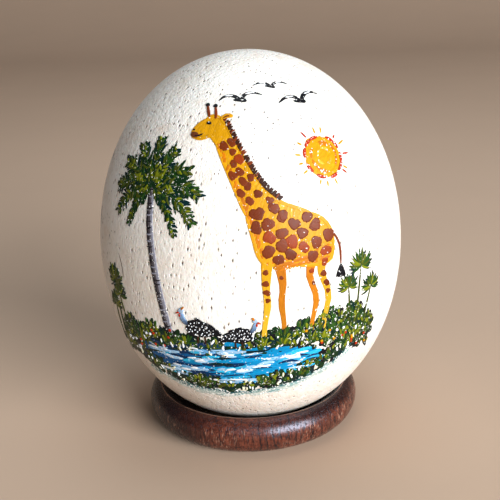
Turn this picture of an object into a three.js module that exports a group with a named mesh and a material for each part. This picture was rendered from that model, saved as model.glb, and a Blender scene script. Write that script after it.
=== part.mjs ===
// An ostrich egg standing on end in a low turned hardwood ring.
//
// Millimetres, +Z up. The origin is on the table, straight below the egg's long axis.
// +Y points to the back and +X to the right of the egg's painted side.
// The egg is a solid of revolution. The ring is one turned piece: a bull-nosed outside, a
// dished seat that follows the slope of the egg, a straight hole and a flat base.

import * as THREE from 'three';

// Egg
const EGG_RADIUS = 64.0;          // half its width, at the widest place
const EGG_HALF_HEIGHT = 79.4;     // half its height
const EGG_CENTRE_HEIGHT = 81.3;   // middle of the egg above the table
const EGG_TAPER = -0.009;         // below 0 the top end is the slimmer one
const EGG_FULLNESS = 0.04;        // above 0 both ends are blunter than an ellipse's
const EGG_ROWS = 44;              // facets from pole to pole
const EGG_SIDES = 64;             // facets around

// Ring
const RING_CENTRE_X = -1.3;       // the egg leans on the right side of its seat
const RING_RADIUS = 46.5;         // outside, at mid height
const RING_HEIGHT = 17.0;         // of the whole bull nose, before the seat cuts its top
const RING_BULGE = 8.1;           // how far the bull nose swells beyond the foot
const HOLE_RADIUS = 29.0;
const HOLE_CHAMFER = 0.6;
const SEAT_CLEARANCE = 0.4;       // between egg and seat, where they are closest
const SEAT_ANGLE = 2.66;          // place on the egg that the seat lies along, radians from the top
const RING_SIDES = 72;            // facets around
const BULGE_STEPS = 14;           // facets up the bull nose

// Point of the egg's outline at angle t, from 0 at the top to PI at the bottom: an ellipse
// whose radius swells or shrinks with height.
function eggOutline(t) {
  const rise = Math.cos(t);
  const swell = 1 + EGG_TAPER * rise + EGG_FULLNESS * rise * rise;
  const radius = EGG_RADIUS * Math.sin(t) * swell;
  return new THREE.Vector2(radius, EGG_CENTRE_HEIGHT + EGG_HALF_HEIGHT * rise);
}

// Closed body made by turning an outline of (radius, height) points about the Z axis.
function turned(outline, sides) {
  return new THREE.LatheGeometry(outline, sides).rotateX(Math.PI / 2);
}

function eggGeometry() {
  const outline = [];
  for (let row = 0; row <= EGG_ROWS; row += 1) {
    outline.push(eggOutline(Math.PI * (1 - row / EGG_ROWS)));
  }
  outline[0].x = 0;
  outline[EGG_ROWS].x = 0;
  return turned(outline, EGG_SIDES);
}

// The seat is a cone that lies along the egg's own slope at SEAT_ANGLE, moved off the egg by
// the clearance. Radii are the ring's, so its offset from the egg is added.
function seatCone() {
  const step = 0.001;
  const touch = eggOutline(SEAT_ANGLE);
  const slopeLine = eggOutline(SEAT_ANGLE - step).sub(eggOutline(SEAT_ANGLE + step)).normalize();
  const radius = touch.x + SEAT_CLEARANCE * slopeLine.y - RING_CENTRE_X;
  const height = touch.y - SEAT_CLEARANCE * slopeLine.x;
  const slope = slopeLine.y / slopeLine.x;
  return { slope, heightAt: (r) => height + slope * (r - radius) };
}

// Point of the bull nose at angle a, from -PI/2 at the foot to PI/2 at the top.
function bullNose(a) {
  const foot = RING_RADIUS - RING_BULGE;
  return new THREE.Vector2(foot + RING_BULGE * Math.cos(a), RING_HEIGHT / 2 * (1 + Math.sin(a)));
}

// Angle at which the bull nose meets the seat, which is the ring's lip.
function lipAngle(seat) {
  const across = seat.slope * RING_BULGE;
  const up = RING_HEIGHT / 2;
  const rest = seat.heightAt(RING_RADIUS - RING_BULGE) - up;
  return Math.atan2(across, up) + Math.asin(rest / Math.hypot(across, up));
}

function ringGeometry() {
  const seat = seatCone();
  const foot = -Math.PI / 2;
  const lip = lipAngle(seat);
  const outline = [new THREE.Vector2(HOLE_RADIUS + HOLE_CHAMFER, 0)];
  for (let i = 0; i <= BULGE_STEPS; i += 1) {
    outline.push(bullNose(foot + (lip - foot) * i / BULGE_STEPS));
  }
  outline.push(new THREE.Vector2(HOLE_RADIUS, seat.heightAt(HOLE_RADIUS)));
  outline.push(new THREE.Vector2(HOLE_RADIUS, HOLE_CHAMFER));
  outline.push(outline[0].clone());
  return turned(outline, RING_SIDES);
}

const shell = new THREE.MeshStandardMaterial({ color: 0xe9dfcd, roughness: 0.38, metalness: 0 });
const wood = new THREE.MeshStandardMaterial({ color: 0x4a2519, roughness: 0.35, metalness: 0 });

const egg = new THREE.Mesh(eggGeometry(), shell);
egg.name = 'egg';

const ring = new THREE.Mesh(ringGeometry(), wood);
ring.name = 'ring_stand';
ring.position.x = RING_CENTRE_X;

const model = new THREE.Group();
model.add(egg, ring);

export default model;
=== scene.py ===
# %% [markdown]
# # A painted ostrich egg in its wooden ring
#
# The real object has two pieces: an emptied ostrich egg, polished and painted by hand with
# acrylics, and a low ring of dark hardwood in which it stands on end. The solids of both are
# already settled in the frame that is loaded here. This notebook makes their surfaces:
# a fine mesh for each, the pores of the shell, the grain of the wood, and the paint, which is
# modelled stroke by stroke as thin raised ribbons, the way a brush leaves it.
#
# Lengths are in metres, as in the frame. Places in the painting are in millimetres, because a
# painter's sizes read better so, and MM turns them into metres.

# %% The frame
import math

import bpy
import numpy as np
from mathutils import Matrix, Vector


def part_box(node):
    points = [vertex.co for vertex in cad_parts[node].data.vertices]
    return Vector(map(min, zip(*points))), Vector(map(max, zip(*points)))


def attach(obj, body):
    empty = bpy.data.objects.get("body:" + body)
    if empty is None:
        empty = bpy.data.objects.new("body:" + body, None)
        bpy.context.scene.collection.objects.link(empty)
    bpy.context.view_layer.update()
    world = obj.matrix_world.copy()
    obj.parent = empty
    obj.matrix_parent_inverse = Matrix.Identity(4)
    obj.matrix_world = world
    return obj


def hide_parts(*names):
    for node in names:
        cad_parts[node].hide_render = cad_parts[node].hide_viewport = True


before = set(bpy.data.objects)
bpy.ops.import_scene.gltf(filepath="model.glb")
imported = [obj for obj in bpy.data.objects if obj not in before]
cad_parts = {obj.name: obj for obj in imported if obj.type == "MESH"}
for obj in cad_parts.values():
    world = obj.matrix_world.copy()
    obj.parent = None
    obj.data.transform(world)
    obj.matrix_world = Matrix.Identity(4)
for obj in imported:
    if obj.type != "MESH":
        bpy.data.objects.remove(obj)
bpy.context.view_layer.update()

MM = 0.001
SEED = 7
random = np.random.default_rng(SEED)
scene = bpy.context.scene

# %% [markdown]
# ## The camera
#
# The camera stands in front of the painted side and looks down a little, close enough that
# the egg shows some perspective. Its place is worked out from the point it looks at, the
# height of its line of sight and its distance. The lens comes from the field of view. A small
# roll, as from a hand-held camera, is put in by turning the camera's own right and up axes.

# %% Camera
from mathutils import Matrix, Vector

AIM = Vector((-0.0005, 0.0, 0.0753))
ELEVATION = math.radians(18.18)
DISTANCE = 0.3909
ROLL = math.radians(2.05)
FOCAL_WIDTHS = 1.8                      # focal length over the width of the film
SENSOR = 36.0                           # millimetres, the usual film width

back = Vector((0, -math.cos(ELEVATION), math.sin(ELEVATION)))
level_right = Vector((1, 0, 0))
level_up = back.cross(level_right)
right = level_right * math.cos(ROLL) - level_up * math.sin(ROLL)
up = level_right * math.sin(ROLL) + level_up * math.cos(ROLL)

lens = bpy.data.cameras.new("camera")
lens.sensor_width = SENSOR
lens.lens = FOCAL_WIDTHS * SENSOR
lens.clip_start = 0.01
camera = bpy.data.objects.new("camera", lens)
axes = Matrix((right, up, back)).transposed().to_4x4()
camera.matrix_world = Matrix.Translation(AIM + back * DISTANCE) @ axes
scene.collection.objects.link(camera)
scene.camera = camera
print("camera at", camera.matrix_world.translation, "lens", round(lens.lens, 1), "mm")

# %% [markdown]
# ## Meshes from grids
#
# Every surface below is a grid: rows of points that run one way, columns the other. One
# helper turns such a grid into faces. It can close the columns into a tube, and it can close
# each end with a single point, as at the poles of an egg, or with one face, as on a cut end.

# %% Grid helper
def grid_faces(rows, columns, first=0):
    """Four-sided faces of a grid whose last column joins its first. Corner numbers are worked
    out for all faces at once: row times columns, plus column, plus the first point's number."""
    row, column = np.meshgrid(np.arange(rows - 1), np.arange(columns), indexing="ij")
    after = (column + 1) % columns
    corners = (row * columns + column, row * columns + after,
               (row + 1) * columns + after, (row + 1) * columns + column)
    return np.stack(corners, -1).reshape(-1, 4) + first


def new_piece(name, points, faces):
    """A mesh object at the origin from an array of points and lists of corner numbers."""
    mesh = bpy.data.meshes.new(name)
    mesh.from_pydata(points.tolist(), [], faces)
    mesh.polygons.foreach_set("use_smooth", np.ones(len(mesh.polygons), bool))
    mesh.update()
    piece = bpy.data.objects.new(name, mesh)
    scene.collection.objects.link(piece)
    return piece


def round_circle(amount):
    """So many angles, evenly spaced round the full circle, from 0."""
    return np.linspace(0, 2 * np.pi, amount, endpoint=False)


def turned(name, radius, height, columns, poles=None):
    """A body of revolution: point (row, column) is at radius[row] from the axis, at
    height[row], and at column times the full circle over the number of columns. Poles are
    the heights of the two points on the axis that close it, below and above. Without them
    the outline closes on itself."""
    angle = round_circle(columns)
    x = np.outer(radius, np.cos(angle))
    y = np.outer(radius, np.sin(angle))
    z = np.outer(height, np.ones(columns))
    points = np.stack([x, y, z], -1).reshape(-1, 3)
    faces = grid_faces(len(radius), columns).tolist()
    here = np.arange(columns)
    after = (here + 1) % columns
    last = (len(radius) - 1) * columns
    if poles:
        low, high = np.full(columns, len(points)), np.full(columns, len(points) + 1)
        points = np.vstack([points, [[0, 0, poles[0]], [0, 0, poles[1]]]])
        faces += np.stack([low, after, here], -1).tolist()
        faces += np.stack([high, last + here, last + after], -1).tolist()
    else:
        faces += np.stack([last + here, last + after, after, here], -1).tolist()
    return new_piece(name, points, faces)


# %% [markdown]
# ## The egg's shape
#
# An egg is a solid of revolution. Its outline is an ellipse whose radius swells or shrinks a
# little with height: a taper makes one end slimmer, and a fullness makes both ends blunter.
# The width, the height and the middle come from the frame, so the fine mesh lies on the
# solid. The same formula later carries the paint, so the strokes follow the shell exactly.

# %% Egg outline
egg_low, egg_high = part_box("egg")
EGG_RADIUS = (egg_high.x - egg_low.x) / 2
EGG_HALF = (egg_high.z - egg_low.z) / 2
EGG_MIDDLE = (egg_high.z + egg_low.z) / 2
TAPER = -0.009
FULLNESS = 0.04


def egg_radius(rise):
    """Radius of the shell where its height is rise half-heights above the middle: the circle's
    half chord, times one plus taper times rise plus fullness times rise squared."""
    swell = 1 + TAPER * rise + FULLNESS * rise ** 2
    return EGG_RADIUS * np.sqrt(np.clip(1 - rise ** 2, 0, None)) * swell


EGG_ROWS = 210
EGG_COLUMNS = 420
turn = np.pi * np.arange(1, EGG_ROWS) / EGG_ROWS
rise = -np.cos(turn)
egg = turned("painted_egg_shell", egg_radius(rise), EGG_MIDDLE + EGG_HALF * rise, EGG_COLUMNS,
             poles=(egg_low.z, egg_high.z))
print("egg", len(egg.data.vertices), "points,", round(EGG_RADIUS / MM, 1), "mm in radius")

# %% [markdown]
# ## The ring's shape
#
# A ring like this is turned on a lathe: the outside is a bull nose, the top is dished to take
# the egg, and the hole is straight. Its outline runs along the flat base, up round the bull
# nose, over a lip that is eased with sandpaper, down the dish and down the hole. The numbers
# are those of the solid. Only the lip's and the hole's small roundings are added here.

# %% Ring outline
ring_low, ring_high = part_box("ring_stand")
RING_CENTRE = (ring_low.x + ring_high.x) / 2
RING_RADIUS = (ring_high.x - ring_low.x) / 2
RING_HEIGHT = 17.0 * MM                 # of the whole bull nose, before the dish cuts its top
RING_BULGE = 8.1 * MM
HOLE_RADIUS = 29.0 * MM
HOLE_EASE = 0.6 * MM
LIP_RADIUS = 41.43 * MM                 # where bull nose and dish meet
DISH_DEPTH = 7.9 * MM                   # from the lip to the edge of the hole
LIP_EASE = 1.1 * MM
LIP_MARGIN = 0.14                       # radians of the bull nose left to the lip's easing
SIDE_STEPS = 56


def rounded(corner, before, after, ease, steps=7):
    """A corner of an outline eased into a curve: the three-point Bezier curve from a point
    before the corner to a point after it, each ease away, pulled towards the corner."""
    corner, before, after = (np.array(p, float) for p in (corner, before, after))
    start = corner + ease * (before - corner) / np.linalg.norm(before - corner)
    end = corner + ease * (after - corner) / np.linalg.norm(after - corner)
    u = np.linspace(0, 1, steps)[:, None]
    return (1 - u) ** 2 * start + 2 * u * (1 - u) * corner + u ** 2 * end


def bull_nose(angle):
    """Outside of the ring: a half ellipse from the foot at -90 degrees to the top at 90."""
    radius = RING_RADIUS - RING_BULGE + RING_BULGE * np.cos(angle)
    return np.stack([radius, RING_HEIGHT / 2 * (1 + np.sin(angle))], -1)


lip_angle = math.acos((LIP_RADIUS - RING_RADIUS + RING_BULGE) / RING_BULGE)
lip = bull_nose(lip_angle)
hole_edge = [HOLE_RADIUS, lip[1] - DISH_DEPTH]
side = bull_nose(np.linspace(-np.pi / 2, lip_angle - LIP_MARGIN, SIDE_STEPS))
foot_inside = [HOLE_RADIUS, 0]
outline = np.vstack([
    side,
    rounded(lip, side[-1], hole_edge, LIP_EASE),
    rounded(hole_edge, lip, foot_inside, LIP_EASE),
    rounded(foot_inside, hole_edge, [RING_RADIUS, 0], HOLE_EASE),
])
RING_COLUMNS = 360
ring = turned("turned_ring", outline[:, 0], outline[:, 1], RING_COLUMNS)
ring.data.transform(Matrix.Translation((RING_CENTRE, 0, 0)))
print("ring", len(ring.data.vertices), "points, lip at", (lip / MM).round(2), "mm")

# %% [markdown]
# ## Shader maths in plain Python
#
# A procedural finish is arithmetic on patterns: a pore is where the distance to the nearest
# point of a scattered grid is small, a growth line is where a distorted ramp wraps round.
# Wiring that by hand hides the idea, so a small class wraps one output of a node. Python's
# own operators on it add Math nodes, and a Finish makes any other node in one call.

# %% Finish helper
class Value:
    """One output of a node. Arithmetic on it adds Math nodes to the same finish."""

    def __init__(self, finish, socket):
        self.finish = finish
        self.socket = socket

    def math(self, operation, first, second=0.0):
        return self.finish.node("ShaderNodeMath", {"operation": operation}, {0: first, 1: second})

    def __add__(self, other):
        return self.math("ADD", self, other)

    def __sub__(self, other):
        return self.math("SUBTRACT", self, other)

    def __rsub__(self, other):
        return self.math("SUBTRACT", other, self)

    def __mul__(self, other):
        return self.math("MULTIPLY", self, other)

    def __pow__(self, other):
        return self.math("POWER", self, other)

    def wrapped(self):
        """What is left after the whole numbers are taken away."""
        return self.math("FRACT", self)

    __radd__ = __add__
    __rmul__ = __mul__


class Finish:
    """A material under construction, with one Principled shader as its surface."""

    def __init__(self, name, **constants):
        self.material = bpy.data.materials.new(name)
        self.material.use_nodes = True
        self.tree = self.material.node_tree
        self.shader = self.tree.nodes["Principled BSDF"]
        for socket, number in constants.items():
            self.shader.inputs[socket.replace("_", " ")].default_value = number

    def node(self, kind, settings=None, inputs=None, output=0):
        """Adds a node: its settings first, then the numbers or links of its sockets."""
        made = self.tree.nodes.new(kind)
        for name, setting in (settings or {}).items():
            setattr(made, name, setting)
        for name, given in (inputs or {}).items():
            if isinstance(given, Value):
                self.tree.links.new(given.socket, made.inputs[name])
            else:
                made.inputs[name].default_value = given
        return Value(self, made.outputs[output])

    def surface(self, **sockets):
        """Links what changes over the surface to the shader."""
        for name, given in sockets.items():
            self.tree.links.new(given.socket, self.shader.inputs[name.replace("_", " ")])

    def axis(self, where, name):
        """One coordinate, X, Y or Z, of a place."""
        return self.node("ShaderNodeSeparateXYZ", inputs={"Vector": where}, output=name)

    def place(self, turned_by=(0, 0, 0), stretched_by=(1, 1, 1)):
        """Object coordinates for a pattern that is drawn out along its own axes, which are
        turned against the object's."""
        here = self.node("ShaderNodeTexCoord", output="Object")
        return self.node("ShaderNodeMapping", {"vector_type": "TEXTURE"}, {
            "Vector": here, "Rotation": turned_by, "Scale": stretched_by})

    def noise(self, where, size, detail=2.0, roughness=0.5, distortion=0.0):
        """Cloudy pattern from 0 to 1 whose blots are about size metres wide."""
        return self.node("ShaderNodeTexNoise", inputs={
            "Vector": where, "Scale": 1 / size, "Detail": detail, "Roughness": roughness,
            "Distortion": distortion})

    def step(self, value, low, high, start=0.0, end=1.0):
        """Smooth step: start below low, end above high, an S curve between."""
        return self.node("ShaderNodeMapRange", {"interpolation_type": "SMOOTHSTEP"}, {
            "Value": value, "From Min": low, "From Max": high, "To Min": start, "To Max": end})

    def mix(self, share, first, second, blend="MIX"):
        """Colour between two colours."""
        first, second = (c if isinstance(c, Value) else (*c, 1.0) for c in (first, second))
        return self.node("ShaderNodeMix", {"data_type": "RGBA", "blend_type": blend},
                         {0: share, 6: first, 7: second}, output=2)

    def layered(self, colour, *coats):
        """Colour with coats over it, each given as its share, from 0 to 1, and its colour."""
        for share, coat in coats:
            colour = self.mix(share, colour, coat)
        return colour

    def bump(self, height, distance):
        """Normal of a surface raised by height times distance metres."""
        return self.node("ShaderNodeBump", inputs={"Height": height, "Distance": distance})


# %% [markdown]
# ## Eggshell
#
# An ostrich's shell is ivory, with a soft polish, and pitted all over by pores: dark specks
# about half a millimetre wide, drawn out from pole to pole, a few millimetres apart, and here
# and there with a tan halo. A Voronoi pattern gives each point of space the
# distance to the nearest of a set of scattered points. Where the shell cuts through a small
# ball round such a point, there is a pore. The random colour of each cell varies the ball's
# size. Every pore lies in a wider dent, and between them the surface is dimpled like a peel,
# less so round the middle, where hands have rubbed it, and most at the left.

# %% Eggshell finish
IVORY = (0.80, 0.765, 0.705)
CREAM = (0.73, 0.655, 0.565)
CHALK = (0.84, 0.825, 0.79)
BLUSH = (0.66, 0.53, 0.42)
HALO = (0.40, 0.28, 0.17)
PORE = (0.085, 0.062, 0.048)
PORE_GRID = 1.8 * MM
PORE_LEAN = (0, 0.16, 0)
PORE_STRETCH = (1, 1, 1.9)
PORE_SIZES = (0.06, 0.25)               # smallest and largest ball, as shares of the grid
FLECK_SIZES = (0.03, 0.22)
HOLE_FLOOR = 0.35                       # share of a pore that is quite dark
DENT_WIDTH = 1.9                        # of the dent round a pore, in widths of the pore


def pores(finish, grid, smallest, largest):
    """Masks from 1 in a pore's middle to 0 outside: the dark hole, and the wider dent round
    it. The balls are from smallest to largest in radius, both given as shares of the grid."""
    where = finish.place(PORE_LEAN, PORE_STRETCH)
    away, chance = (
        finish.node("ShaderNodeTexVoronoi", inputs={"Vector": where, "Scale": 1 / grid}, output=name)
        for name in ("Distance", "Color"))
    size = finish.node("ShaderNodeSeparateColor", inputs={"Color": chance})
    reach = size * (largest - smallest) + smallest
    hole = finish.step(away, reach * HOLE_FLOOR, reach, 1.0, 0.0)
    return hole, finish.step(away, 0, reach * DENT_WIDTH, 1.0, 0.0)


def eggshell():
    """Ivory with coats of cream, chalk, blush and tan over it; the blush low on the shell is a
    painted warm bounce from below. The relief is peel, grain and mottle, stronger by distance
    from the middle, less the pores and their dents."""
    finish = Finish("eggshell", Roughness=0.42, IOR=1.5, Subsurface_Weight=0.05,
                    Subsurface_Scale=0.003)
    plain = finish.place()
    pore, dent = pores(finish, PORE_GRID, *PORE_SIZES)
    fleck, pit = pores(finish, PORE_GRID / 2, *FLECK_SIZES)

    clouds = finish.noise(plain, 24 * MM, 3.0, 0.55)
    warm = finish.noise(finish.place((0.4, 0.2, 0.9)), 9 * MM, 3.0, 0.55)
    mottle = finish.noise(plain, 2.2 * MM, 3.0, 0.6)
    peel = finish.noise(finish.place(PORE_LEAN, (1, 1, 1.6)), 1.4 * MM, 2.0, 0.55)
    grain = finish.noise(finish.place(PORE_LEAN, (1, 1, 3)), 0.62 * MM, 2.0, 0.6)
    side, high = (finish.axis(plain, name) for name in "XZ")
    rough = finish.step(((high - EGG_MIDDLE) ** 2) ** 0.5, 12 * MM, 52 * MM, 0.55, 1.0)
    deep = finish.step(side, 30 * MM, -42 * MM, 0.66, 1.45)

    stained = finish.step(finish.noise(plain, 13 * MM), 0.48, 0.60)
    relief = (peel * 1.1 + grain * 0.4 + mottle * 0.2) * rough - dent * 0.9 - pore * 0.8 - pit * 0.25

    finish.surface(
        Base_Color=finish.layered(
            IVORY,
            (finish.step(clouds, 0.35, 0.65) * 0.6, CREAM),
            # painted warm bounce light: the shell warmer towards its foot, as if lit from the floor
            (finish.step(high, 60 * MM, 20 * MM) * 0.42, BLUSH),
            (finish.step(mottle, 0.42, 0.72) * 0.55, CHALK),
            (finish.step(warm, 0.52, 0.72) * 0.42, BLUSH),
            (finish.step(peel, 0.50, 0.26) * 0.16, HALO),
            (dent * stained * 0.42, HALO),
            (fleck * 0.28, HALO),
            (pore * finish.step(mottle, 0.25, 0.6, 0.35, 0.80), PORE)),
        Roughness=finish.step(mottle, 0.3, 0.7, 0.36, 0.50) + pore * 0.3,
        Normal=finish.bump(relief * deep, 0.28 * MM))
    return finish.material


egg.data.materials.append(eggshell())
print("eggshell nodes", len(egg.data.materials[0].node_tree.nodes))

# %% [markdown]
# ## Turned hardwood
#
# The ring is turned from a slice of the trunk, so the trunk's axis stands upright in it. Growth
# layers are arcs round a pith that lies outside the ring: they cross the crown as dark lines and
# run down the side upright. The distance from the pith, bent by noise and wrapped round, gives
# those layers. Fibres and open pores are noise drawn out upright: dashes on the side, dots on the
# end grain of the crown. Rays show as short pale flecks on the side. Painted shade darkens the
# crown under the egg, the left end of the front and the dish, the right end is a little darker,
# and a thin pale line on the lip is a painted highlight.

# %% Hardwood finish
HEART = (0.058, 0.0138, 0.0072)
LIGHT_WOOD = (0.178, 0.046, 0.023)
# dark of growth layers, fibres and pores, also the colour of the painted shade
DARK_GRAIN_AND_SHADE = (0.0070, 0.0032, 0.0032)
# pale ray flecks, and also the colour of the painted highlight on the lip
PALE_FLECK_AND_HIGHLIGHT = (0.34, 0.175, 0.115)
POLISH_TINT = (0.74, 0.82, 1.0, 1.0)    # of the gloss, bluish as of old dark polish
PITH = (-100 * MM, -60 * MM)
LAYER = 3.4 * MM
UPRIGHT = (0.05, 0.07, 0)               # lean of the trunk


def hardwood():
    """Red-brown wood with darker coats by growth layer and pore, painted shade by place, pale
    flecks and a painted highlight on the lip. The relief is fibre less pores and layers."""
    finish = Finish("hardwood", Roughness=0.3, IOR=1.5, Specular_Tint=POLISH_TINT)
    plain = finish.place()
    side, depth, high = (finish.axis(plain, name) for name in "XYZ")
    reach = ((side - RING_CENTRE) ** 2 + depth ** 2) ** 0.5
    away = ((side - PITH[0]) ** 2 + (depth - PITH[1]) ** 2) ** 0.5

    def upright(drawn_out, size, *how):
        """Noise drawn out so many times along the trunk."""
        return finish.noise(finish.place(UPRIGHT, (1, 1, drawn_out)), size, *how)

    sway, waver, uneven = upright(2, 16 * MM), upright(3, 3 * MM), upright(2, 4 * MM)
    layer = (away * (1 / LAYER) + sway * 3.0 + waver * 0.7).wrapped()
    line = finish.step(layer, 0.66, 0.94) * finish.step(layer, 0.97, 1.0, 1.0, 0.0)
    line = line * finish.step(uneven, 0.36, 0.54) * finish.step(side, -22 * MM, 10 * MM, 0.45, 1.0)

    fibre = upright(12, 0.45 * MM, 3.0, 0.62)
    pore = finish.step(upright(6, 0.60 * MM, 1.0), 0.58, 0.66)
    curl = finish.noise(finish.place((0.5, 0.2, 0), (1.6, 1, 1)), 1.8 * MM, 3.0, 0.65, 1.0)
    wave = upright(5, 1.1 * MM, 2.0, 0.6)
    ray = finish.noise(finish.place((0, 0.12, 0.1), (1, 5, 6)), 0.46 * MM, 1.0)
    patch = finish.noise(plain, 12 * MM)

    # Painted shade: the crown, which lies under the egg, is darkened, and more so towards the right.
    crown = finish.step(high + patch * 3 * MM, 12.0 * MM, 16.5 * MM)
    # Painted shade in the dish, in the gap under the egg.
    dish_shade = finish.step(reach, LIP_RADIUS - 0.23 * MM, LIP_RADIUS - 1.23 * MM)
    pale = finish.step(ray, 0.58, 0.66) * finish.step(patch, 0.42, 0.56, 1.0, 0.10)
    # Painted highlight: a thin pale line along the lip's inner edge, uneven by patch.
    lip_highlight = finish.step(reach, 40.9 * MM, 41.3 * MM) * finish.step(reach, 41.4 * MM, 41.8 * MM, 1, 0)
    lip_highlight = lip_highlight * finish.step(high, 15 * MM, 16 * MM) * finish.step(patch, 0.40, 0.60, 0.85, 0.30)
    finish.surface(
        Base_Color=finish.layered(
            HEART,
            (finish.step(curl, 0.36, 0.68), LIGHT_WOOD),
            (finish.step(patch, 0.35, 0.68) * 0.6, HEART),
            (finish.step(wave, 0.48, 0.66) * 0.4, LIGHT_WOOD),
            (finish.step(fibre, 0.50, 0.34) * 0.5, DARK_GRAIN_AND_SHADE),
            (line * 0.93, DARK_GRAIN_AND_SHADE),
            # painted shade on the crown
            (crown * finish.step(side, 2 * MM, 24 * MM, 0.28, 0.85), DARK_GRAIN_AND_SHADE),
            (finish.step(side, -8 * MM, -42 * MM) * 0.85, DARK_GRAIN_AND_SHADE),      # painted shade at the left end of the front
            # a little darker towards the right end
            (finish.step(side, 8 * MM, 24 * MM) * 0.15, DARK_GRAIN_AND_SHADE),
            # painted shade in the dish
            (dish_shade * 0.85, DARK_GRAIN_AND_SHADE),
            (pore * 0.8, DARK_GRAIN_AND_SHADE),
            (pale * finish.step(high, 14 * MM, 11 * MM) * 0.7, PALE_FLECK_AND_HIGHLIGHT),
            # painted highlight on the lip
            (lip_highlight, PALE_FLECK_AND_HIGHLIGHT)),
        Roughness=finish.step(fibre, 0.3, 0.7, 0.20, 0.32) + pore * 0.15,
        Normal=finish.bump(fibre * 0.5 - pore * 1.1 - line * 0.5, 0.055 * MM))
    return finish.material


ring.data.materials.append(hardwood())
print("hardwood nodes", len(ring.data.materials[0].node_tree.nodes))

# %% [markdown]
# ## A tape measure on the shell
#
# A painter works in millimetres on the shell, not in x, y and z. So the paint is laid out with
# two tape measures: one climbs the shell from its widest line, the other runs round it. The
# outline is walked in small steps whose lengths are added up, and that table is read backwards
# to find the height that belongs to a length. The outward normal comes from the same outline.

# %% Places on the shell
TAPE_STEPS = 4001
TILT_STEP = 1e-4                        # half-heights, to measure the shell's slope by
tape_rise = np.linspace(-0.9995, 0.9995, TAPE_STEPS)
tape_step = np.hypot(np.diff(egg_radius(tape_rise)), EGG_HALF * np.diff(tape_rise))
tape = np.concatenate([[0], np.cumsum(tape_step)])
tape -= np.interp(0, tape_rise, tape)


def on_shell(turn, climb):
    """Place and outward normal on the shell at an angle round it from the front and a length
    up it from the widest line. The place is radius times sine and minus cosine of the angle.
    The normal leans up by the radius lost for each metre of height."""
    rise = np.interp(climb, tape, tape_rise)
    radius = egg_radius(rise)
    lost = egg_radius(rise - TILT_STEP) - egg_radius(rise + TILT_STEP)
    lost = lost / (2 * TILT_STEP * EGG_HALF)
    sideways, forwards = np.sin(turn), -np.cos(turn)
    place = np.stack([radius * sideways, radius * forwards, EGG_MIDDLE + EGG_HALF * rise], -1)
    normal = np.stack([sideways, forwards, lost], -1)
    return place, normal / np.linalg.norm(normal, axis=-1, keepdims=True)


print("tape", round(tape[0] / MM, 1), "to", round(tape[-1] / MM, 1), "mm up the shell")

# %% [markdown]
# ## A brush stroke
#
# Acrylic paint dries as a thin raised ribbon with a rounded edge. One stroke is a grid: along
# it run the stations of a smooth path, across it the eight corners of a flat dome that is sunk
# a little into the shell. A whole batch of strokes is worked out at once, as one array whose
# first axis counts the strokes. Each stroke carries its pigment, and two maps: one in metres
# along and across the bristles, which the finish streaks the paint with, and one that lays
# every stroke out on its own small rectangle, for baking.

# %% Strokes
ACROSS = np.array([-1, -0.9, -0.62, 0.62, 0.9, 1, 1, -1])    # six corners on top, two below
DOME = np.array([0, 0.8, 1, 1, 0.8, 0, 0, 0])
BELOW = np.array([0, 0, 0, 0, 0, 0, 1, 1])
SHEET = np.array([0, 0.07, 0.2, 0.75, 0.88, 0.95, 0.97, 0.99, 1])
CORNERS = len(ACROSS)
SINK = 0.15 * MM
LAYER_LIFT = 0.09 * MM
LIFT_SPREAD = 0.35                      # of a layer, so that strokes that cross don't coincide
TIP_WIDTH = 0.02 * MM                   # half the width that every stroke keeps at its ends
TIP_THICKNESS = 0.12                    # share of the thickness that it keeps there
CURVE = 60 * MM                         # about the shell's radius of curvature
BRUSH_FIELD = 0.7                       # metres of bristle pattern to start a stroke in
BAKE_MARGIN = 0.06                      # round each stroke on the baking map


def jitter(size, shape):
    """Random offsets of about a size: that size times draws from the normal distribution."""
    return size * random.standard_normal(shape)


def along(knots, share):
    """Points on a smooth curve through a stroke's knots, the Catmull-Rom way: between two
    knots the curve starts and ends along the lines that join each one's neighbours."""
    knots = np.concatenate([2 * knots[:, :1] - knots[:, 1:2], knots,
                            2 * knots[:, -1:] - knots[:, -2:-1]], 1)
    place = share * (knots.shape[1] - 3)
    first = np.minimum(place.astype(int), knots.shape[1] - 4)
    t = (place - first)[:, None]
    a, b, c, d = (knots[:, first + k] for k in range(4))
    return 0.5 * (2 * b + (c - a) * t + (2 * a - 5 * b + 4 * c - d) * t ** 2
                  + (3 * b - a - 3 * c + d) * t ** 3)


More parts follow.
